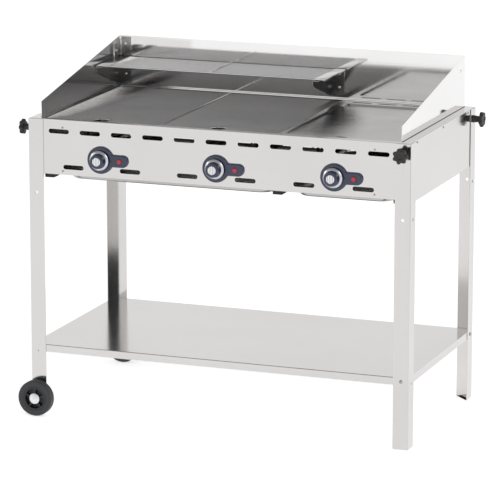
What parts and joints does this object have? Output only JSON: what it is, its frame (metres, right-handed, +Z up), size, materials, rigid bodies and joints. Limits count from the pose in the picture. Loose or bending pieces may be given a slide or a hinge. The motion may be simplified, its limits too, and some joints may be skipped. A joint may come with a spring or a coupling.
{
  "type": "gas charbroiler grill",
  "caption": "Wheeled gas charbroiler: steel box on angle legs with wire grids, griddle, wind shield, warming rack, grease pans, control knobs and a lower shelf.",
  "frame": {"origin": "on the floor under the middle of the bounding box", "axes": "+X to the right seen from the control side, +Y to the back, +Z up"},
  "size_m": [1.162, 0.664, 0.98],
  "materials": {
    "steel": "satin stainless sheet, fine grain",
    "zinc": "bright zinc plated fasteners",
    "pipe": "drawn steel tube",
    "burner_steel": "heat tinted stainless",
    "wire": "polished stainless wire",
    "griddle": "ground steel plate",
    "brass": "turned brass",
    "ceramic": "glazed ceramic",
    "navy": "gloss dark navy moulding",
    "dial": "satin silver ring",
    "red": "gloss red button",
    "black_plastic": "matte black moulding",
    "rubber": "black rubber",
    "tyre": "dark grey rubber tread"
  },
  "bodies": {
    "stand": {"leg_front_right": "steel", "leg_rear_right": "steel", "leg_rear_left": "steel", "leg_front_left": "steel", "shelf": "steel", "front_panel": "steel", "rear_panel": "steel", "side_panel_left": "steel", "side_panel_right": "steel", "housing_screws": "zinc", "side_rails": "steel", "front_rail": "steel", "rear_rail": "steel", "divider_rails": "steel", "pan_rails": "steel", "rubber_feet": "rubber", "burner_left": "burner_steel", "burner_middle": "burner_steel", "burner_right": "burner_steel", "burner_covers": "burner_steel", "burner_bars": "steel", "gas_manifold": "pipe", "gas_valves": "brass", "injectors": "brass", "thermocouples": "brass", "spark_electrodes": "ceramic", "bezels": "navy", "igniter_bodies": "black_plastic", "wheel_axles": "zinc", "grip_studs": "zinc"},
    "wind_shield": {"shield_back": "steel", "shield_sides": "steel", "shield_screws": "zinc", "rack_brackets": "steel"},
    "rack": {"warming_rack": "wire"},
    "left_grid": {"grid_left": "wire"},
    "middle_grid": {"grid_middle": "wire"},
    "griddle_plate": {"griddle": "griddle"},
    "double_pan": {"pan_double": "steel"},
    "single_pan": {"pan_single": "steel"},
    "stem_left": {"valve_stem_left": "zinc"},
    "control_left": {"knob_left": "navy", "dial_left": "dial"},
    "button_left": {"igniter_button_left": "red"},
    "stem_middle": {"valve_stem_middle": "zinc"},
    "control_middle": {"knob_middle": "navy", "dial_middle": "dial"},
    "button_middle": {"igniter_button_middle": "red"},
    "stem_right": {"valve_stem_right": "zinc"},
    "control_right": {"knob_right": "navy", "dial_right": "dial"},
    "button_right": {"igniter_button_right": "red"},
    "roller_front": {"tyre_front": "tyre", "wheel_front": "black_plastic"},
    "roller_rear": {"tyre_rear": "tyre", "wheel_rear": "black_plastic"},
    "grip_front_right": {"star_grip_front_right": "black_plastic"},
    "grip_rear_right": {"star_grip_rear_right": "black_plastic"},
    "grip_rear_left": {"star_grip_rear_left": "black_plastic"},
    "grip_front_left": {"star_grip_front_left": "black_plastic"}
  },
  "joints": [
    {"name": "shield_lift", "type": "slide", "parent": "stand", "child": "wind_shield", "axis": [0, 0, 1], "range_m": [0, 0.15]},
    {"name": "rack_lift", "type": "slide", "parent": "wind_shield", "child": "rack", "axis": [0, 0, 1], "range_m": [0, 0.05]},
    {"name": "left_grid_tip", "type": "hinge", "parent": "stand", "child": "left_grid", "pos_m": [-0.342, 0.2685, 0.835], "axis": [-1, 0, 0], "range_deg": [0, 15]},
    {"name": "middle_grid_tip", "type": "hinge", "parent": "stand", "child": "middle_grid", "pos_m": [0, 0.2685, 0.835], "axis": [-1, 0, 0], "range_deg": [0, 15]},
    {"name": "griddle_plate_tip", "type": "hinge", "parent": "stand", "child": "griddle_plate", "pos_m": [0.342, 0.2685, 0.835], "axis": [-1, 0, 0], "range_deg": [0, 15]},
    {"name": "double_pan_slide", "type": "slide", "parent": "stand", "child": "double_pan", "axis": [0, 1, 0], "range_m": [0, 0.45]},
    {"name": "single_pan_slide", "type": "slide", "parent": "stand", "child": "single_pan", "axis": [0, 1, 0], "range_m": [0, 0.45]},
    {"name": "knob_push_left", "type": "slide", "parent": "stand", "child": "stem_left", "axis": [0, 1, 0], "range_m": [0, 0.004], "stiffness_N_per_m": 1500, "springref_m": -0.002},
    {"name": "knob_turn_left", "type": "hinge", "parent": "stem_left", "child": "control_left", "pos_m": [-0.336, -0.31, 0.732], "axis": [0, 1, 0], "range_deg": [-210, 0]},
    {"name": "igniter_push_left", "type": "slide", "parent": "stand", "child": "button_left", "axis": [0, 1, 0], "range_m": [0, 0.006], "stiffness_N_per_m": 800, "springref_m": -0.002},
    {"name": "knob_push_middle", "type": "slide", "parent": "stand", "child": "stem_middle", "axis": [0, 1, 0], "range_m": [0, 0.004], "stiffness_N_per_m": 1500, "springref_m": -0.002},
    {"name": "knob_turn_middle", "type": "hinge", "parent": "stem_middle", "child": "control_middle", "pos_m": [0, -0.31, 0.732], "axis": [0, 1, 0], "range_deg": [-210, 0]},
    {"name": "igniter_push_middle", "type": "slide", "parent": "stand", "child": "button_middle", "axis": [0, 1, 0], "range_m": [0, 0.006], "stiffness_N_per_m": 800, "springref_m": -0.002},
    {"name": "knob_push_right", "type": "slide", "parent": "stand", "child": "stem_right", "axis": [0, 1, 0], "range_m": [0, 0.004], "stiffness_N_per_m": 1500, "springref_m": -0.002},
    {"name": "knob_turn_right", "type": "hinge", "parent": "stem_right", "child": "control_right", "pos_m": [0.336, -0.31, 0.732], "axis": [0, 1, 0], "range_deg": [-210, 0]},
    {"name": "igniter_push_right", "type": "slide", "parent": "stand", "child": "button_right", "axis": [0, 1, 0], "range_m": [0, 0.006], "stiffness_N_per_m": 800, "springref_m": -0.002},
    {"name": "wheel_spin_front", "type": "hinge", "parent": "stand", "child": "roller_front", "pos_m": [-0.528, -0.3155, 0.05], "axis": [0, 1, 0], "continuous": true},
    {"name": "wheel_spin_rear", "type": "hinge", "parent": "stand", "child": "roller_rear", "pos_m": [-0.528, 0.3155, 0.05], "axis": [0, 1, 0], "continuous": true},
    {"name": "grip_turn_front_right", "type": "hinge", "parent": "stand", "child": "grip_front_right", "pos_m": [0.528, -0.31, 0.806], "axis": [0, -1, 0], "continuous": true},
    {"name": "grip_turn_rear_right", "type": "hinge", "parent": "stand", "child": "grip_rear_right", "pos_m": [0.566, 0.272, 0.806], "axis": [1, 0, 0], "continuous": true},
    {"name": "grip_turn_rear_left", "type": "hinge", "parent": "stand", "child": "grip_rear_left", "pos_m": [-0.528, 0.31, 0.806], "axis": [0, 1, 0], "continuous": true},
    {"name": "grip_turn_front_left", "type": "hinge", "parent": "stand", "child": "grip_front_left", "pos_m": [-0.566, -0.272, 0.806], "axis": [-1, 0, 0], "continuous": true}
  ]
}
